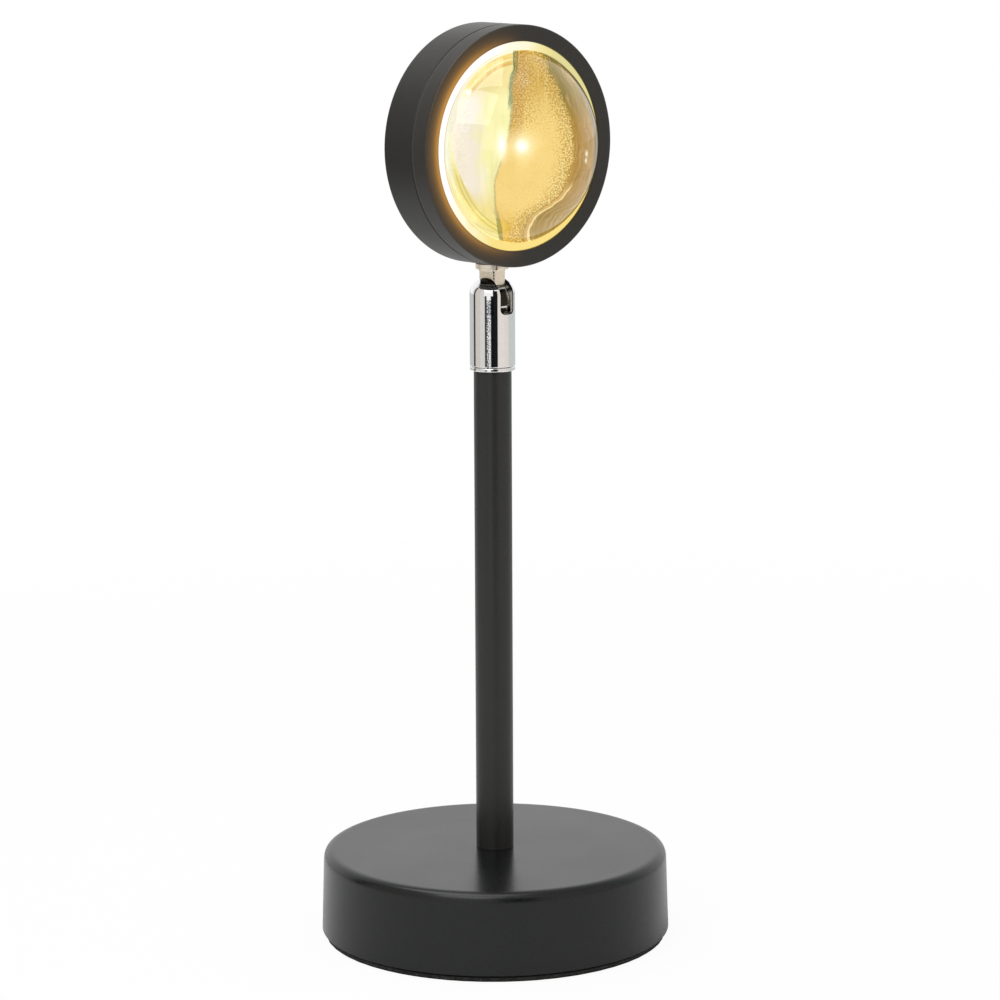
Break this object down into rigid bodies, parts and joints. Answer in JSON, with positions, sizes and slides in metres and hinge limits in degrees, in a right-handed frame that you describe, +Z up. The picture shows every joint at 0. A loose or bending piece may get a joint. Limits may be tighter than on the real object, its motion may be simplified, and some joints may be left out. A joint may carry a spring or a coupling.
{
  "type": "sunset projection lamp",
  "caption": "Table lamp with a round weighted base, a slim pole, a ball knuckle in a slotted sleeve, and a drum head with a domed glass lens that projects a warm disc of light.",
  "frame": {"origin": "centre of the foot pad's underside, where the lamp stands on the table", "axes": "+Z up the pole, -Y the way the lens faces, +Y towards the cable gland"},
  "size_m": [0.1, 0.1, 0.2612],
  "materials": {
    "black_steel": "satin",
    "cast_weight": "matte",
    "foam": "matte",
    "rubber_bush": "matte",
    "plated_brass": "satin",
    "zinc_steel": "satin",
    "lead_sheath": "matte",
    "chrome": "polished",
    "nylon": "satin",
    "nickel": "satin",
    "black_head": "satin",
    "black_face": "satin",
    "frosted_ring": "satin",
    "lens_glass": "polished",
    "filter_film": "gloss",
    "white_plastic": "gloss",
    "board": "satin",
    "phosphor": "satin",
    "black_chip": "matte",
    "silicone_pad": "matte"
  },
  "bodies": {
    "base": {"base_shell": "black_steel", "counterweight": "cast_weight", "foot_pad": "foam", "cable_gland": "rubber_bush", "base_nipple": "plated_brass", "base_washer": "zinc_steel", "base_nut": "zinc_steel", "pole_tube": "black_steel", "pole_lead": "lead_sheath", "knuckle_plug": "chrome", "plug_clip": "zinc_steel"},
    "knuckle": {"knuckle_sleeve": "chrome", "thrust_washer": "nylon", "knuckle_spring": "zinc_steel", "ball_seat": "nylon"},
    "stem": {"ball_stem": "nickel", "stem_washer": "zinc_steel", "stem_nut": "plated_brass"},
    "head": {"rear_housing": "black_head", "front_bezel": "black_face", "lens_holder": "frosted_ring", "lens": "lens_glass", "colour_filter": "filter_film", "reflector": "white_plastic", "led_board": "board", "led_emitter": "phosphor", "board_resistors": "black_chip", "thermal_pad": "silicone_pad", "board_screws": "zinc_steel", "lead_connector": "nylon", "head_lead": "lead_sheath"}
  },
  "joints": [
    {"name": "knuckle_swivel", "type": "hinge", "parent": "base", "child": "knuckle", "pos_m": [0, 0, 0.1645], "axis": [0, 0, 1], "range_deg": [-175, 175]},
    {"name": "head_tilt", "type": "hinge", "parent": "knuckle", "child": "stem", "pos_m": [0, 0, 0.1838], "axis": [0.9962, 0.0872, 0], "range_deg": [0, 90]},
    {"name": "head_turn", "type": "hinge", "parent": "stem", "child": "head", "pos_m": [0, 0, 0.1945], "axis": [0, 0, 1], "range_deg": [-175, 175]}
  ]
}
